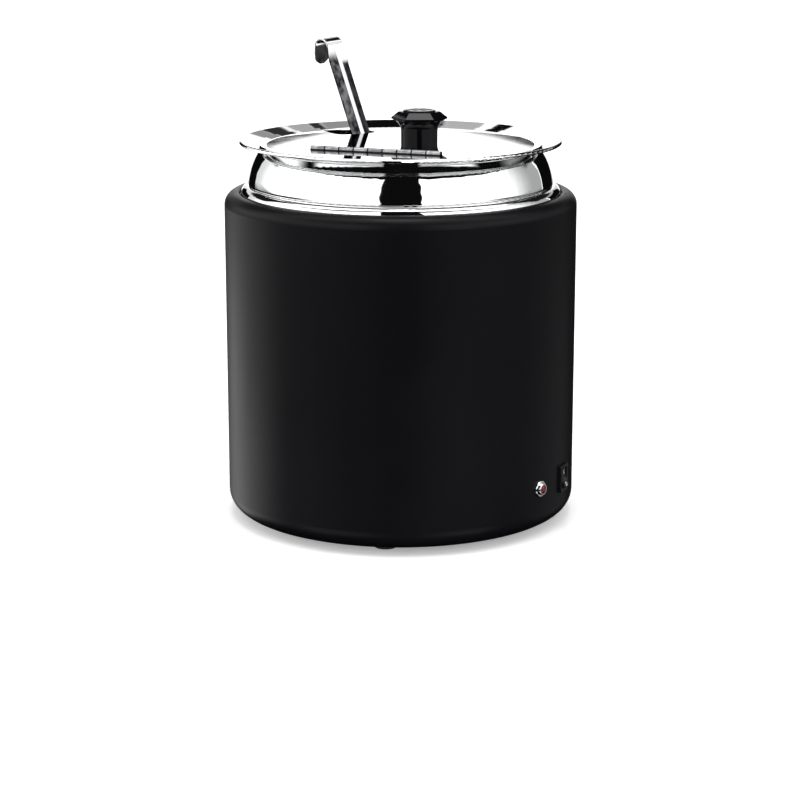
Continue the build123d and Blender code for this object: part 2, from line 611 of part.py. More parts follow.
def make_knob():
    """The hexagonal knob on the flap, with its threaded insert, and the screw and washer under the lid."""
    outline = (
        Line((0, 0), (KNOB_NECK_RADIUS, 0))
        + Line((KNOB_NECK_RADIUS, 0), (KNOB_NECK_RADIUS, 6))
        + ThreePointArc((KNOB_NECK_RADIUS, 6), (16.4, 11.7), (KNOB_FLANGE_RADIUS, KNOB_EDGE_BOTTOM))
        + Line((KNOB_FLANGE_RADIUS, KNOB_EDGE_BOTTOM), (KNOB_FLANGE_RADIUS, KNOB_EDGE_TOP))
        + Line((KNOB_FLANGE_RADIUS, KNOB_EDGE_TOP), (0, KNOB_EDGE_TOP))
        + Line((0, KNOB_EDGE_TOP), (0, 0))
    )
    hexagon = RegularPolygon(KNOB_FLANGE_RADIUS, 6)
    knob = revolve(Plane.XZ * make_face(outline), Axis.Z) & extrude(hexagon, KNOB_EDGE_TOP)
    knob += Pos(0, 0, KNOB_EDGE_TOP) * extrude(hexagon, KNOB_PLATEAU - KNOB_EDGE_TOP, taper=KNOB_SLOPE)
    cap = extrude(Circle(KNOB_CAP_RADIUS), KNOB_HEIGHT - KNOB_PLATEAU)
    knob += Pos(0, 0, KNOB_PLATEAU) * fillet(cap.edges().sort_by(Axis.Z)[-1], 0.9)
    flute_depth = 0.9
    for index in (-1, 0, 1):
        flute = extrude(Rot(0, 0, 55) * SlotOverall(17, 3.0), flute_depth + 1)
        knob -= Pos(6.2 * index, 0, KNOB_HEIGHT - flute_depth) * flute
    knob -= extrude(Circle(INSERT_RADIUS), INSERT_LENGTH)
    place = lid_plane(LID_TOP) * Pos(KNOB_SIDE, KNOB_OFFSET, 0)
    upright = Rot(0, 0, -LID_TURN)
    keep("lid_knob", place * upright * knob)
    insert = extrude(Circle(INSERT_RADIUS - CLEARANCE) - Circle(KNOB_SCREW_RADIUS), INSERT_LENGTH)
    keep("knob_insert", place * insert)
    washer = extrude(Circle(5.5) - Circle(KNOB_SCREW_RADIUS + 0.2), 0.8)
    keep("knob_washer", place * Pos(0, 0, -STEEL - 0.8) * washer)
    screw = pan_screw(3.9, 2.4, KNOB_SCREW_RADIUS - CLEARANCE, 10)
    keep("knob_screw", place * Pos(0, 0, -STEEL - 0.8) * Rot(180, 0, 0) * screw)


# --- ladle ----------------------------------------------------------------------------------
def make_ladle():
    """The ladle's deep bowl and its flanged strip handle with the hook at the top."""
    here = handle_plane()
    half = HANDLE_THICKNESS / 2
    strip = FilletPolyline(
        (HANDLE_BOTTOM, -half),
        (HANDLE_STRAIGHT_TOP + HOOK_RADIUS + half, -half),
        (HANDLE_STRAIGHT_TOP + HOOK_RADIUS + half, 2 * HOOK_RADIUS + half),
        (HANDLE_STRAIGHT_TOP - HOOK_TIP, 2 * HOOK_RADIUS + half),
        radius=[HOOK_RADIUS + half - 0.01, HOOK_RADIUS + half - 0.01],
    )
    profile = make_face(offset(strip, amount=HANDLE_THICKNESS, side=Side.LEFT))
    handle = extrude(Pos(0, 0, -HANDLE_WIDTH / 2) * profile, HANDLE_WIDTH)
    rail_length = FLANGE_TOP - FLANGE_BOTTOM
    for side in (-1, 1):
        rail = extrude(SlotOverall(rail_length, 2 * HANDLE_FLANGE), 1.2)
        rail &= Pos(0, HANDLE_FLANGE / 2, 0.6) * Box(rail_length, HANDLE_FLANGE, 1.2)
        low_edge = side * (HANDLE_WIDTH / 2 - 0.6) - 0.6
        handle += Pos((FLANGE_TOP + FLANGE_BOTTOM) / 2, half - 0.05, low_edge) * rail
    keep("ladle_handle", here * handle)

    outer = FilletPolyline((0, 0), (BOWL_RADIUS, 0), (BOWL_RADIUS, BOWL_DEPTH), radius=[24])
    bowl = revolve(Plane.XZ * make_face(offset(outer, amount=BOWL_WALL, side=Side.LEFT)), Axis.Z)
    seat = here.from_local_coords((BOWL_RIM - BOWL_DEPTH, -half - BOWL_RADIUS, 0))
    keep("ladle_bowl", Plane(origin=seat, x_dir=here.y_dir, z_dir=here.x_dir) * bowl)


def main():
    make_shell()
    make_well()
    make_base()
    make_tie_rods()
    element_ends = make_heater()
    make_sensors()
    make_indicator()
    make_switch()
    make_inlet()
    make_wiring(element_ends)
    make_pot()
    make_lid()
    make_hinge()
    make_knob()
    make_ladle()
    os.makedirs("parts", exist_ok=True)
    for name, shape in NODES.items():
        export_step(shape, f"parts/{name}.step")
    print(len(NODES), "nodes")


main()
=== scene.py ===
"""The looks of the electric soup kettle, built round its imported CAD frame.

Metres, in the CAD's own frame: the origin is on the table under the kettle, +Z is up and -Y is the front.
"""

import math

import bmesh
import bpy
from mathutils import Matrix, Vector


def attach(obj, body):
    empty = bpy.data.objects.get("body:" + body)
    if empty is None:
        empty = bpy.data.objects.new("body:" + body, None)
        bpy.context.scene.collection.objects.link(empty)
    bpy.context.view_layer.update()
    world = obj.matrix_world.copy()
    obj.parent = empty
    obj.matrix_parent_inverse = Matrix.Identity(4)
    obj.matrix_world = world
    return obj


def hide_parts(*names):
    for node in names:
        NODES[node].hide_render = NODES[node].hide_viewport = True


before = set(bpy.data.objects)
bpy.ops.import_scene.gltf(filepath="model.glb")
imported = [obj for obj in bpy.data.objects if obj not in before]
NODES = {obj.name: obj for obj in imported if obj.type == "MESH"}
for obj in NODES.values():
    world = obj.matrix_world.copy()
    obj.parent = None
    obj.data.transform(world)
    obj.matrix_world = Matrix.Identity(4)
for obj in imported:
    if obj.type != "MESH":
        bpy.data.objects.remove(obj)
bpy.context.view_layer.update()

MM = 0.001

# Where most of a noise texture's values lie.
NOISE_LOW = 0.3
NOISE_HIGH = 0.7

# --- camera and studio ----------------------------------------------------------------------
CAMERA_PLACE = (-0.0005, -1.700, 0.506)
CAMERA_PITCH = 0.242
CAMERA_LENS = 100.4
FLOOR_SIZE = 60
SKY_BRIGHTNESS = 1.9
DARK_BRIGHTNESS = 0.004
FLOOR_COLOUR = 0.93
FLOOR_GLOW = 0.3

# Soft lights and black flags of the studio, as parts of the sky seen from the kettle. An azimuth is
# counted from the front towards the right-hand side, an elevation from the horizon, both in degrees.
# Each row: (lowest azimuth, highest azimuth, soft edge), (lowest elevation, highest elevation, soft
# edge), brightness. A later row covers an earlier one.
SKY_PATCHES = [
    # the grey wall on the right, and a paler one on the left
    ((95, 178, 50), (-3, 45, 4), 0.42),
    ((-178, -122, 30), (-3, 45, 4), 0.8),
    # the pale floor far behind, then the black walls beside it
    ((-182, -165, 2), (-7, 3, 3), 1.3),
    ((165, 182, 2), (-7, 3, 3), 1.3),
    ((-165, -140.5, 1), (-9, 12.5, 1), 0.003),
    ((133.5, 163.5, 1), (-9, 15, 1), 0.003),
    ((131.8, 133.5, 0.6), (-3, 16, 1), 1.6),
    ((-168, -118, 8), (19, 60, 5), 0.01),
    ((118, 168, 8), (19, 60, 5), 0.01),
    # what the flat lid mirrors, and then what the back of the flared rim mirrors
    ((-183, -172, 1), (6.9, 14, 0.5), 1.9),
    ((172, 183, 1), (6.9, 14, 0.5), 1.9),
    ((-182, -176.8, 0.4), (35.2, 50, 0.4), 0.004),
    ((176.8, 182, 0.4), (34.9, 50, 0.4), 0.004),
    ((172, 178.6, 0.4), (31.8, 34.9, 0.8), 0.3),
    ((172, 178.6, 0.4), (30.2, 31.8, 0.5), 0.03),
    ((172, 178.6, 0.4), (26.5, 30.2, 0.5), 0.42),
    ((172, 178.6, 0.4), (20.2, 25.2, 1.0), 0.03),
    ((172, 178.6, 0.4), (15.2, 20.2, 1.0), 0.3),
    ((-178.6, -172, 0.4), (31.4, 35.2, 0.5), 0.48),
    ((-178.6, -172, 0.4), (26.8, 29.6, 0.5), 0.004),
    # the lights for the shell's two sides, and the one overhead
    ((-150, -92, 22), (-30, -9, 6), 1.9),
    ((95, 140, 16), (-30, -10, 6), 0.3),
    ((-180, 180, 0), (83, 95, 2), 14.0),
]
# A low light in front, whose upper edge rises as the azimuth's square, and the flag that hangs before it.
LOW_LIGHT = 1.5
LOW_LIGHT_SIDES = (-74, 64)
LOW_LIGHT_BOTTOM = -42
LOW_LIGHT_TOP = (-29, -0.0021)
FLAG = (-15, 15.7)
FLAG_HEIGHTS = (-60, 48)
# A black gap between two soft boxes in front: its upper and lower edges fall as the azimuth's square.
GAP_MIDDLE = -5
GAP_TOP = (60.5, 0.0031)
GAP_BOTTOM = (40, 0.00105)
# The wall's dark foot, low behind the kettle, which the flat lid mirrors as two crescents. Its top rises
# as the azimuth's square.
FOOT_MIDDLE = 1.3
FOOT_WIDTH = 5
FOOT_BOTTOM = 5.6
FOOT_TOP = (6.9, 0.045)

# --- the hinge -------------------------------------------------------------------------------
LID_TURN = math.radians(-20)
HINGE_LENGTH = 103 * MM
KNUCKLES = 9
# Width of the painted shade in the gaps between the knuckles.
HINGE_GAP_SHADE = 0.4 * MM

# --- the ladle's handle, a pressed strip through the lid's notch -----------------------------
HANDLE_CROSSING = Vector((-30.7, 71.0, 287.8)) * MM
HANDLE_LEAN = Vector((-0.32, 0.24, 1))
HANDLE_TURN = math.radians(43)
HANDLE_WIDTH = 18.5 * MM
HANDLE_LOW = -231 * MM
HANDLE_RUNS = 150
HANDLE_COLUMNS = 36
SHEET = 1.2 * MM
EDGE_ROUNDING = 0.42 * MM
GROOVE_HALF_WIDTH = 1.6 * MM
FLANGE_CORNER = 1.2 * MM
FLANGE_EDGE = 0.5 * MM
FLANGE_SLOPE = math.tan(math.radians(14))
LEFT_FLANGE_TOP = 72 * MM
LEFT_FLANGE_TAPER = 12 * MM
RIGHT_FLANGE_TOP = 60 * MM
RIGHT_FLANGE_TAPER = 4 * MM
HOOK_WIDTH = 16 * MM
HOOK_NECK = 60 * MM
HOOK_START = 73 * MM
HOOK_BEND = 7.5 * MM
HOOK_TURN = math.radians(150)
HOOK_STEPS = 24
TONGUE_LENGTH = 14.6 * MM
TONGUE_STEPS = 12
TONGUE_ROUNDING = 8 * MM
TONGUE_END = 0.25

# --- the marks on the switch -----------------------------------------------------------------
SWITCH_PLACE = (134.4 * MM, math.radians(66.6), 38.5 * MM)
MARK_OFFSET = 4.6 * MM
MARK_HEIGHT = 3 * MM
MARK_STROKE = 0.55 * MM
MARK_THICKNESS = 0.12 * MM
MARK_SEGMENTS = 40
# How far outside the switch the search for the rocker's face starts.
MARK_RAY = 50 * MM


def add(tree, kind, settings=None, **inputs):
    """Adds a shader node. An input is a value or another node's socket, named with _ for a space."""
    made = tree.nodes.new("ShaderNode" + kind)
    for name, value in (settings or {}).items():
        setattr(made, name, value)
    for name, value in inputs.items():
        connect(tree, made.inputs[name.replace("_", " ")], value)
    return made


def connect(tree, socket, value):
    """Links a socket to this input, or sets the input's own value."""
    if isinstance(value, bpy.types.NodeSocket):
        tree.links.new(value, socket)
    else:
        socket.default_value = value


def maths(tree, operation, *values, clamp=False):
    """One Math node. Returns its output."""
    made = tree.nodes.new("ShaderNodeMath")
    made.operation = operation
    made.use_clamp = clamp
    for socket, value in zip(made.inputs, values):
        connect(tree, socket, value)
    return made.outputs[0]


def remap(tree, value, low, high, new_low=0.0, new_high=1.0):
    """Maps low..high to new_low..new_high with soft ends."""
    made = add(tree, "MapRange", {"interpolation_type": "SMOOTHSTEP"}, Value=value)
    for name, number in (("From Min", low), ("From Max", high), ("To Min", new_low), ("To Max", new_high)):
        connect(tree, made.inputs[name], number)
    return made.outputs[0]


def band(tree, value, low, high, soft):
    """1 between low and high, falling to 0 over the soft width on each side."""
    rise = remap(tree, value, low - soft / 2, low + soft / 2)
    fall = remap(tree, value, high - soft / 2, high + soft / 2)
    return maths(tree, "SUBTRACT", rise, fall)


def blend(tree, factor, first, second):
    """Mixes two colours or brightnesses. Returns the mixed colour."""
    made = add(tree, "Mix", {"data_type": "RGBA"})
    connect(tree, made.inputs[0], factor)
    connect(tree, made.inputs[6], first)
    connect(tree, made.inputs[7], second)
    return made.outputs[2]


def grey(brightness):
    """An opaque grey."""
    return (brightness, brightness, brightness, 1)


def falling(tree, value, edge):
    """An edge's height: its top less its fall times the value's square."""
    top, fall = edge
    return maths(tree, "SUBTRACT", top, maths(tree, "MULTIPLY", maths(tree, "MULTIPLY", value, value), fall))


def below(tree, value, edge, soft=0.8):
    """1 where the value is under the edge and 0 above it."""
    return remap(tree, maths(tree, "SUBTRACT", edge, value), -soft / 2, soft / 2)


def front_gap(tree, azimuth, elevation):
    """How far this direction lies in the black gap between the two soft boxes."""
    across = maths(tree, "SUBTRACT", azimuth, GAP_MIDDLE)
    under_top = below(tree, elevation, falling(tree, across, GAP_TOP))
    under_bottom = below(tree, elevation, falling(tree, across, GAP_BOTTOM))
    over_bottom = maths(tree, "SUBTRACT", 1.0, under_bottom)
    return maths(tree, "MULTIPLY", under_top, over_bottom)


def low_light(tree, azimuth, elevation):
    """How far this direction lies in the low light in front."""
    under = below(tree, elevation, falling(tree, azimuth, LOW_LIGHT_TOP))
    over = remap(tree, elevation, LOW_LIGHT_BOTTOM - 2, LOW_LIGHT_BOTTOM + 2)
    beside = band(tree, azimuth, *LOW_LIGHT_SIDES, 10)
    return maths(tree, "MULTIPLY", maths(tree, "MULTIPLY", under, over), beside)


def back_foot(tree, azimuth, elevation):
    """How far this direction lies in the dark foot of the wall behind."""
    off = maths(tree, "SUBTRACT", 180.0, maths(tree, "ABSOLUTE", azimuth))
    top, rise = FOOT_TOP
    under = below(tree, elevation, falling(tree, off, (top, -rise)), 0.1)
    over = remap(tree, elevation, FOOT_BOTTOM - 0.2, FOOT_BOTTOM + 0.2)
    beside = band(tree, off, FOOT_MIDDLE, FOOT_WIDTH, 0.3)
    return maths(tree, "MULTIPLY", maths(tree, "MULTIPLY", under, over), beside)


def make_world():
    """A studio as the sky: bright above the horizon, dark below, with soft lights and black flags."""
    world = bpy.data.worlds.new("studio")
    bpy.context.scene.world = world
    world.use_nodes = True
    tree = world.node_tree
    tree.nodes.clear()
    direction = add(tree, "TexCoord").outputs["Generated"]
    parts = add(tree, "SeparateXYZ", Vector=direction)
    x, y, z = parts.outputs
    azimuth = maths(tree, "DEGREES", maths(tree, "ARCTAN2", x, maths(tree, "MULTIPLY", y, -1.0)))
    elevation = maths(tree, "DEGREES", maths(tree, "ARCSINE", z))
    above = remap(tree, elevation, -1.5, 0.5)
    colour = blend(tree, above, grey(DARK_BRIGHTNESS), grey(SKY_BRIGHTNESS))
    for (west, east, side_soft), (low, high, end_soft), brightness in SKY_PATCHES:
        inside = band(tree, elevation, low, high, end_soft)
        if east - west < 360:
            inside = maths(tree, "MULTIPLY", inside, band(tree, azimuth, west, east, side_soft))
        colour = blend(tree, inside, colour, grey(brightness))
    colour = blend(tree, low_light(tree, azimuth, elevation), colour, grey(LOW_LIGHT))
    flag = maths(tree, "MULTIPLY", band(tree, azimuth, *FLAG, 0.7), band(tree, elevation, *FLAG_HEIGHTS, 0.7))
    colour = blend(tree, flag, colour, grey(DARK_BRIGHTNESS))
    colour = blend(tree, front_gap(tree, azimuth, elevation), colour, grey(DARK_BRIGHTNESS))
    colour = blend(tree, back_foot(tree, azimuth, elevation), colour, grey(DARK_BRIGHTNESS))
    seen = add(tree, "LightPath").outputs["Is Camera Ray"]
    colour = blend(tree, seen, colour, grey(SKY_BRIGHTNESS))
    background = add(tree, "Background", Color=colour, Strength=1.0)
    output = add(tree, "OutputWorld")
    tree.links.new(background.outputs[0], output.inputs["Surface"])
    world.cycles.sampling_method = "MANUAL"
    world.cycles.sample_map_resolution = 2048


def make_camera():
    """The camera, at the height and distance of the photograph's view."""
    data = bpy.data.cameras.new("camera")
    data.lens = CAMERA_LENS
    data.sensor_width = 36
    data.clip_end = 200
    camera = bpy.data.objects.new("camera", data)
    camera.location = CAMERA_PLACE
    camera.rotation_euler = (math.pi / 2 - CAMERA_PITCH, 0, 0)
    bpy.context.scene.collection.objects.link(camera)
    bpy.context.scene.camera = camera


def make_floor():
    """A plain pale floor with a soft glow, kept out of the steel's reflections."""
    mesh = bpy.data.meshes.new("floor")
    half = FLOOR_SIZE / 2
    corners = [(-half, -half, 0), (half, -half, 0), (half, half, 0), (-half, half, 0)]
    mesh.from_pydata(corners, [], [(0, 1, 2, 3)])
    floor = bpy.data.objects.new("floor", mesh)
    bpy.context.scene.collection.objects.link(floor)
    floor.visible_glossy = False
    material = bpy.data.materials.new("floor")
    material.use_nodes = True
    tree = material.node_tree
    shader = tree.nodes["Principled BSDF"]
    place = add(tree, "TexCoord").outputs["Object"]
    mottle = add(tree, "TexNoise", Vector=place, Scale=9.0, Detail=3.0).outputs["Fac"]
    level = remap(tree, mottle, 0.2, 0.8, FLOOR_COLOUR - 0.01, FLOOR_COLOUR)
    connect(tree, shader.inputs["Base Color"], blend(tree, level, grey(0), grey(1)))
    connect(tree, shader.inputs["Roughness"], 0.9)
    connect(tree, shader.inputs["Specular IOR Level"], 0.0)
    connect(tree, shader.inputs["Emission Color"], grey(1))
    connect(tree, shader.inputs["Emission Strength"], FLOOR_GLOW)
    mesh.materials.append(material)


# --- materials ------------------------------------------------------------------------------
def start_material(name, colour, roughness, metallic=0.0, specular=0.5):
    """A material with its principled shader set. Returns the material, its tree and the shader."""
    material = bpy.data.materials.new(name)
    material.use_nodes = True
    tree = material.node_tree
    shader = tree.nodes["Principled BSDF"]
    shader.inputs["Base Color"].default_value = (*colour, 1)
    shader.inputs["Roughness"].default_value = roughness
    shader.inputs["Metallic"].default_value = metallic
    shader.inputs["Specular IOR Level"].default_value = specular
    return material, tree, shader


def noise(tree, scale, detail=2.0, stretch=(1, 1, 1), roughness=0.5):
    """Noise by place on the object, scale in waves per metre. Returns its value."""
    place = add(tree, "TexCoord").outputs["Object"]
    spread = add(tree, "Mapping", Vector=place, Scale=stretch).outputs[0]
    made = add(tree, "TexNoise", Vector=spread, Scale=scale, Detail=detail, Roughness=roughness)
    return made.outputs["Fac"]


def bump(tree, shader, height, distance, strength=1.0):
    """Adds a bump of this real depth."""
    made = add(tree, "Bump", Strength=strength, Distance=distance, Height=height)
    tree.links.new(made.outputs[0], shader.inputs["Normal"])


def vary_roughness(tree, shader, value, low, high):
    """Roughness from low to high as the noise's value goes from its usual lowest to its usual highest."""
    tree.links.new(remap(tree, value, NOISE_LOW, NOISE_HIGH, low, high), shader.inputs["Roughness"])


def vary_colour(tree, shader, value, first, second):
    """Colour from first to second as the noise's value goes from its usual lowest to its usual highest."""
    mixed = blend(tree, remap(tree, value, NOISE_LOW, NOISE_HIGH), (*first, 1), (*second, 1))
    tree.links.new(mixed, shader.inputs["Base Color"])


def black_coat():
    """Powder coat: fine orange peel and faint wipe marks."""
    material, tree, shader = start_material("black_coat", (0.003, 0.003, 0.004), 0.36, specular=0.12)
    vary_roughness(tree, shader, noise(tree, 14, 4.0, (1, 1, 0.35)), 0.33, 0.4)
    vary_colour(tree, shader, noise(tree, 6, 3.0), (0.0022, 0.002, 0.003), (0.0036, 0.0034, 0.0048))
    bump(tree, shader, noise(tree, 1100, 2.0), 0.00003, 0.5)
    return material


def polished_steel(name="polished_steel", colour=(0.9, 0.905, 0.91), roughness=0.02):
    """Mirror-polished steel with faint smears and hair-fine scratches."""
    material, tree, shader = start_material(name, colour, roughness, metallic=1.0)
    vary_roughness(tree, shader, noise(tree, 35, 5.0), roughness, roughness + 0.015)
    vary_colour(tree, shader, noise(tree, 12, 3.0), colour, tuple(0.98 * part for part in colour))
    bump(tree, shader, noise(tree, 900, 2.0, (1, 0.06, 1)), 0.0000003, 0.6)
    return material


def ladle_steel():
    """The ladle's strip: a bright hook and groove, and flanges with a painted dark, mottled reflection in
    their colour.
    """
    material, tree, shader = start_material("ladle_steel", (0.8, 0.8, 0.81), 0.06, metallic=1.0)
    along, _, across = handle_frame()
    place = add(tree, "VectorMath", {"operation": "SUBTRACT"})
    connect(tree, place.inputs[0], add(tree, "TexCoord").outputs["Object"])
    connect(tree, place.inputs[1], HANDLE_CROSSING)
    distances = []
    for way in (along, across):
        made = add(tree, "VectorMath", {"operation": "DOT_PRODUCT"})
        connect(tree, made.inputs[0], place.outputs[0])
        connect(tree, made.inputs[1], way)
        distances.append(made.outputs["Value"])
    up, side = distances
    # Painted reflection: the flanges' base colour is made dark and mottled to stand in for the dark
    # reflections on them.
    dark_reflection_mask = 0.0
    left = (-1, LEFT_FLANGE_TOP, LEFT_FLANGE_TAPER)
    right = (1, RIGHT_FLANGE_TOP, RIGHT_FLANGE_TAPER)
    for turn, top, taper in (left, right):
        out = maths(tree, "MULTIPLY", side, turn)
        beside = remap(tree, out, GROOVE_HALF_WIDTH, GROOVE_HALF_WIDTH + FLANGE_EDGE)
        under = remap(tree, up, top - taper, top, 1.0, 0.0)
        dark_reflection_mask = maths(tree, "ADD", dark_reflection_mask, maths(tree, "MULTIPLY", beside, under))
    mottle = remap(tree, noise(tree, 240, 5.0, (1, 1, 0.4), 0.6), 0.36, 0.66)
    painted_reflection = blend(tree, mottle, (0.008, 0.008, 0.009, 1), (0.11, 0.11, 0.115, 1))
    bright = blend(tree, noise(tree, 200, 4.0), (0.7, 0.7, 0.71, 1), (0.85, 0.85, 0.86, 1))
    tree.links.new(blend(tree, dark_reflection_mask, bright, painted_reflection), shader.inputs["Base Color"])
    vary_roughness(tree, shader, noise(tree, 120, 4.0), 0.04, 0.14)
    bump(tree, shader, noise(tree, 220, 3.0), 0.00006, 0.6)
    return material


def hinge_steel():
    """Drawn steel with its grain along the hinge, with painted shade on its underside and painted shade in
    the gaps between the knuckles.
    """
    material, tree, shader = start_material("hinge_steel", (0.4, 0.4, 0.41), 0.2, metallic=1.0)
    vary_roughness(tree, shader, noise(tree, 260, 3.0, (0.2, 0.5, 1)), 0.12, 0.3)
    place = add(tree, "SeparateXYZ", Vector=add(tree, "TexCoord").outputs["Object"]).outputs
    along = maths(tree, "ADD",
                  maths(tree, "MULTIPLY", place[0], math.cos(LID_TURN)),
                  maths(tree, "MULTIPLY", place[1], math.sin(LID_TURN)))
    # Painted shade: a near-black band of base colour in each gap between the knuckles.
    from_end = maths(tree, "ADD", along, HINGE_LENGTH / 2)
    from_gap = maths(tree, "PINGPONG", from_end, HINGE_LENGTH / KNUCKLES / 2)
    painted_gap_shade = remap(tree, from_gap, HINGE_GAP_SHADE, 1.6 * HINGE_GAP_SHADE, 1.0, 0.0)
    grain = remap(tree, noise(tree, 120, 3.0), NOISE_LOW, NOISE_HIGH)
    bare = blend(tree, grain, (0.22, 0.22, 0.23, 1), (0.5, 0.5, 0.51, 1))
    # Painted shade: the base colour goes near-black where the surface faces downwards.
    facing = add(tree, "SeparateXYZ", Vector=add(tree, "NewGeometry").outputs["Normal"]).outputs[2]
    painted_underside_shade = remap(tree, facing, -0.1, 0.45, 1.0, 0.0)
    bare = blend(tree, painted_underside_shade, bare, grey(0.02))
    tree.links.new(blend(tree, painted_gap_shade, bare, grey(0.004)), shader.inputs["Base Color"])
    bump(tree, shader, noise(tree, 1500, 2.0, (0.08, 0.2, 1)), 0.000004, 0.7)
    return material


def plated(name, colour, rough_low, rough_high, spangle=0):
    """Plated steel: patchy roughness and colour, with crystal spangles where they are wanted."""
    material, tree, shader = start_material(name, colour, rough_low, metallic=1.0)
    vary_roughness(tree, shader, noise(tree, 300, 3.0), rough_low, rough_high)
    value = noise(tree, 90, 4.0)
    if spangle:
        place = add(tree, "TexCoord").outputs["Object"]
        cells = add(tree, "TexVoronoi", Vector=place, Scale=spangle)
        value = add(tree, "SeparateColor", Color=cells.outputs["Color"]).outputs[0]
    vary_colour(tree, shader, value, tuple(0.82 * part for part in colour), colour)
    bump(tree, shader, noise(tree, 1400, 2.0), 0.000006, 0.5)
    return material


def element_sheath():
    """The element's steel sheath, tinted straw and blue where it has been hot."""
    material, tree, shader = start_material("element_sheath", (0.3, 0.28, 0.26), 0.4, metallic=1.0)
    vary_colour(tree, shader, noise(tree, 45, 4.0), (0.34, 0.27, 0.19), (0.2, 0.22, 0.3))
    vary_roughness(tree, shader, noise(tree, 400, 3.0), 0.3, 0.55)
    bump(tree, shader, noise(tree, 1300, 3.0), 0.00001, 0.5)
    return material


def moulded(name, colour, rough_low, rough_high, grain=1600, depth=0.00001, specular=0.5):
    """Moulded plastic or rubber: fine grain, patchy sheen and slightly uneven colour."""
    material, tree, shader = start_material(name, colour, rough_low, specular=specular)
    vary_roughness(tree, shader, noise(tree, 160, 4.0), rough_low, rough_high)
    vary_colour(tree, shader, noise(tree, 60, 3.0), tuple(0.85 * part for part in colour), colour)
    bump(tree, shader, noise(tree, grain, 3.0), depth, 0.6)
    return material


def insulation():
    """Mineral fibre sleeve: pale, matte and fibrous."""
    material, tree, shader = start_material("insulation", (0.72, 0.68, 0.58), 0.95, specular=0.1)
    fibres = noise(tree, 350, 6.0, (1, 1, 6), 0.7)
    vary_colour(tree, shader, fibres, (0.55, 0.5, 0.38), (0.8, 0.77, 0.68))
    bump(tree, shader, fibres, 0.0008)
    return material


def red_lens():
    """The lamp's tinted lens, unlit."""
    material, tree, shader = start_material("red_lens", (0.22, 0.012, 0.015), 0.08)
    shader.inputs["Transmission Weight"].default_value = 0.55
    shader.inputs["IOR"].default_value = 1.49
    vary_colour(tree, shader, noise(tree, 400, 3.0), (0.16, 0.008, 0.01), (0.3, 0.02, 0.022))
    vary_roughness(tree, shader, noise(tree, 500, 3.0), 0.05, 0.14)
    bump(tree, shader, noise(tree, 700, 1.0), 0.00003, 0.3)
    return material


def clear_glass():
    """The bulb's glass."""
    material, tree, shader = start_material("clear_glass", (0.95, 0.95, 0.95), 0.02)
    shader.inputs["Transmission Weight"].default_value = 0.95
    shader.inputs["IOR"].default_value = 1.5
    vary_roughness(tree, shader, noise(tree, 300, 3.0), 0.01, 0.08)
    bump(tree, shader, noise(tree, 500, 1.0), 0.00001, 0.3)
    return material


def wire_sheath(name, colour, stripe=None):
    """PVC sheath on a wire, with a second colour in stripes where it has one."""
    material, tree, shader = start_material(name, colour, 0.35)
    vary_roughness(tree, shader, noise(tree, 500, 3.0), 0.28, 0.5)
    if stripe:
        place = add(tree, "TexCoord").outputs["Object"]
        diagonal = {"bands_direction": "DIAGONAL"}
        waves = add(tree, "TexWave", diagonal, Vector=place, Scale=160.0, Distortion=0.5)
        mixed = blend(tree, remap(tree, waves.outputs["Fac"], 0.45, 0.55), (*colour, 1), (*stripe, 1))
        tree.links.new(mixed, shader.inputs["Base Color"])
    else:
        vary_colour(tree, shader, noise(tree, 200, 3.0), tuple(0.8 * part for part in colour), colour)
    bump(tree, shader, noise(tree, 900, 2.0), 0.00002, 0.4)
    return material


def make_materials():
    """Every material, by its name, which is the name of a slot in the record for those of the CAD nodes."""
    return {
        "black_coat": black_coat(),
        "polished_steel": polished_steel(),
        "hinge_steel": hinge_steel(),
        "ladle_steel": ladle_steel(),
        "chrome": polished_steel("chrome", (0.9, 0.9, 0.91), 0.04),
        "galvanised": plated("galvanised", (0.62, 0.64, 0.66), 0.3, 0.5, spangle=90),
        "zinc": plated("zinc", (0.68, 0.69, 0.72), 0.25, 0.45),
        "aluminium": plated("aluminium", (0.78, 0.78, 0.79), 0.35, 0.55),
        "element_sheath": element_sheath(),
        "brass": plated("brass", (0.78, 0.6, 0.3), 0.2, 0.4),
        "rubber": moulded("rubber", (0.018, 0.018, 0.019), 0.65, 0.85, 1200, 0.00003, specular=0.3),
        "silicone": moulded("silicone", (0.02, 0.02, 0.021), 0.45, 0.6, specular=0.4),
        "insulation": insulation(),
        "brown_phenolic": moulded("brown_phenolic", (0.09, 0.035, 0.02), 0.3, 0.5),
        "black_phenolic": moulded("black_phenolic", (0.003, 0.003, 0.004), 0.05, 0.1, 900, 3e-6, 0.08),
        "black_plastic": moulded("black_plastic", (0.006, 0.006, 0.007), 0.22, 0.38, specular=0.2),
        "white_paint": moulded("white_paint", (0.75, 0.75, 0.74), 0.4, 0.6),
        "matte_black_plastic": moulded("matte_black_plastic", (0.016, 0.016, 0.017), 0.45, 0.65, depth=3e-5),
        "red_lens": red_lens(),
        "clear_glass": clear_glass(),
        "wire_brown": wire_sheath("wire_brown", (0.13, 0.05, 0.02)),
        "wire_blue": wire_sheath("wire_blue", (0.02, 0.09, 0.35)),
        "wire_green": wire_sheath("wire_green", (0.03, 0.22, 0.05), stripe=(0.7, 0.6, 0.05)),
    }


# --- the ladle's handle, and the switch's marks ----------------------------------------------
def handle_frame():
    """The handle's directions: along it, out of its front face, and across it."""
    along = HANDLE_LEAN.normalized()
    level = Vector((math.cos(HANDLE_TURN), math.sin(HANDLE_TURN), 0))
    across = (level - along * level.dot(along)).normalized()
    return along, along.cross(-across).normalized(), across


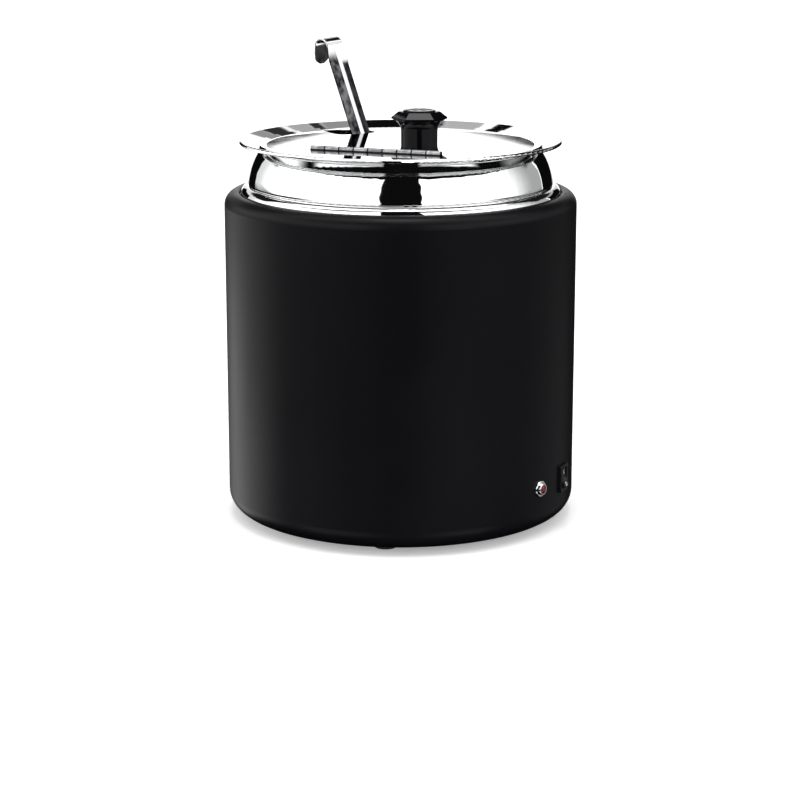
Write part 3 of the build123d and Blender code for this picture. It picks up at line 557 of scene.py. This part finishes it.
def handle_line():
    """The handle's middle line: (place along, place behind, turn of the bend)."""
    line = []
    for index in range(HANDLE_RUNS + 1):
        line.append((HANDLE_LOW + (HOOK_START - HANDLE_LOW) * index / HANDLE_RUNS, 0, 0))
    for index in range(1, HOOK_STEPS + 1):
        turn = HOOK_TURN * index / HOOK_STEPS
        line.append((HOOK_START + HOOK_BEND * math.sin(turn), HOOK_BEND * (1 - math.cos(turn)), turn))
    along, behind, turn = line[-1]
    for index in range(1, TONGUE_STEPS + 1):
        length = TONGUE_LENGTH * index / TONGUE_STEPS
        line.append((along + length * math.cos(turn), behind + length * math.sin(turn), turn))
    return line


def smooth_step(value):
    """0 below 0, 1 above 1, and a smooth rise between them."""
    value = min(max(value, 0), 1)
    return value * value * (3 - 2 * value)


def flange_drop(side, along, turn):
    """How far the flanges are bent back here. The left one ends in a point, the right one is shorter."""
    if turn:
        return 0
    top = LEFT_FLANGE_TOP if side < 0 else RIGHT_FLANGE_TOP
    taper = LEFT_FLANGE_TAPER if side < 0 else RIGHT_FLANGE_TAPER
    beyond = abs(side) - GROOVE_HALF_WIDTH
    if beyond <= 0:
        return 0
    rounded = beyond * beyond / (beyond + FLANGE_CORNER)
    return FLANGE_SLOPE * rounded * smooth_step((top - along) / taper)


def make_handle(materials):
    """The ladle's handle, as a pressed strip: a flange bent back along each edge and a rounded hook."""
    along, front, across = handle_frame()
    line = handle_line()
    end_along, end_behind, end_turn = line[-1]
    mesh = bmesh.new()
    sheets = ([], [])
    for place, behind, turn in line:
        centre = HANDLE_CROSSING + along * place - front * behind
        outward = front * math.cos(turn) + along * math.sin(turn)
        to_end = math.dist((place, behind), (end_along, end_behind))
        rounding = min(to_end / TONGUE_ROUNDING, 1) if turn == end_turn else 1
        narrowed = smooth_step((place - HOOK_NECK) / (HOOK_START - HOOK_NECK)) if not turn else 1
        full_width = HANDLE_WIDTH + (HOOK_WIDTH - HANDLE_WIDTH) * narrowed
        half_width = full_width / 2 * max(math.sqrt(1 - (1 - rounding) ** 2), TONGUE_END)
        rows = ([], [])
        for index in range(HANDLE_COLUMNS + 1):
            side = half_width * (2 * index / HANDLE_COLUMNS - 1)
            point = centre + across * side - outward * flange_drop(side, place, turn)
            rows[0].append(mesh.verts.new(point + outward * (SHEET / 2)))
            rows[1].append(mesh.verts.new(point - outward * (SHEET / 2)))
        sheets[0].append(rows[0])
        sheets[1].append(rows[1])
    for sheet in sheets:
        for low, high in zip(sheet, sheet[1:]):
            for index in range(HANDLE_COLUMNS):
                mesh.faces.new((low[index], low[index + 1], high[index + 1], high[index]))
    front_sheet, back_sheet = sheets
    for column in (0, HANDLE_COLUMNS):
        for step in range(len(line) - 1):
            mesh.faces.new((front_sheet[step][column], front_sheet[step + 1][column],
                            back_sheet[step + 1][column], back_sheet[step][column]))
    for step in (0, len(line) - 1):
        for index in range(HANDLE_COLUMNS):
            mesh.faces.new((front_sheet[step][index], front_sheet[step][index + 1],
                            back_sheet[step][index + 1], back_sheet[step][index]))
    handle = finish_mesh(mesh, "ladle_handle_strip", materials["ladle_steel"])
    bevel = handle.modifiers.new("edges", "BEVEL")
    bevel.width = EDGE_ROUNDING
    bevel.segments = 2
    bevel.limit_method = "ANGLE"
    bevel.angle_limit = math.radians(60)
    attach(handle, "ladle")
    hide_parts("ladle_handle")


def mark_outlines():
    """The two marks in their own plane: the rocker's end, the outer loop and the loop of the hole, if any."""
    turns = [math.tau * index / MARK_SEGMENTS for index in range(MARK_SEGMENTS)]
    radius = MARK_HEIGHT / 2
    hole = radius - MARK_STROKE
    outer = [(radius * math.cos(turn), radius * math.sin(turn)) for turn in turns]
    inner = [(hole * math.cos(turn), hole * math.sin(turn)) for turn in turns]
    half = MARK_STROKE / 2
    end = radius - half
    bar = []
    for turn in turns:
        bar.append((half * math.cos(turn), half * math.sin(turn) + math.copysign(end, math.sin(turn))))
    return {"switch_mark_off": (-1, outer, inner), "switch_mark_on": (1, bar, [])}


def make_marks(materials):
    """The ring and the bar that are printed on the switch's rocker."""
    radius, azimuth, height = SWITCH_PLACE
    facing = Vector((math.sin(azimuth), -math.cos(azimuth), 0))
    sideways = Vector((math.cos(azimuth), math.sin(azimuth), 0))
    rocker = NODES["switch_rocker"]
    for name, (end, outer, inner) in mark_outlines().items():
        start = facing * (radius + MARK_RAY) + Vector((0, 0, height + end * MARK_OFFSET))
        _, place, normal, _ = rocker.ray_cast(start, -facing)
        upward = normal.cross(sideways).normalized()
        mesh = bmesh.new()
        loops = []
        for outline, lift in ((outer, 0), (outer, MARK_THICKNESS), (inner, MARK_THICKNESS), (inner, 0)):
            base = place + normal * lift
            loops.append([mesh.verts.new(base + sideways * x + upward * y) for x, y in outline])
        if inner:
            walls = list(zip(loops, loops[1:] + loops[:1]))
        else:
            walls = [loops[:2]]
            mesh.faces.new(loops[1])
            mesh.faces.new(loops[0])
        for first, second in walls:
            for index in range(MARK_SEGMENTS):
                after = (index + 1) % MARK_SEGMENTS
                mesh.faces.new((first[index], first[after], second[after], second[index]))
        mark = finish_mesh(mesh, name, materials["white_paint"])
        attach(mark, "rocker")


def finish_mesh(mesh, name, material):
    """Turns a bmesh into a smooth-shaded object."""
    bmesh.ops.recalc_face_normals(mesh, faces=mesh.faces)
    data = bpy.data.meshes.new(name)
    mesh.to_mesh(data)
    mesh.free()
    data.shade_smooth()
    data.materials.append(material)
    made = bpy.data.objects.new(name, data)
    bpy.context.scene.collection.objects.link(made)
    return made


def dress_nodes(materials):
    """Gives every CAD node the material of its slot, and evens out the shading of the two mirror bowls."""
    for node in NODES.values():
        for slot in node.material_slots:
            slot.material = materials[slot.material.name.split(".")[0]]
    for name in ("inner_pot", "well"):
        even = NODES[name].modifiers.new("even", "WEIGHTED_NORMAL")
        even.keep_sharp = True


make_camera()
make_world()
make_floor()
materials = make_materials()
dress_nodes(materials)
make_handle(materials)
make_marks(materials)

scene = bpy.context.scene
scene.view_settings.view_transform = "Standard"
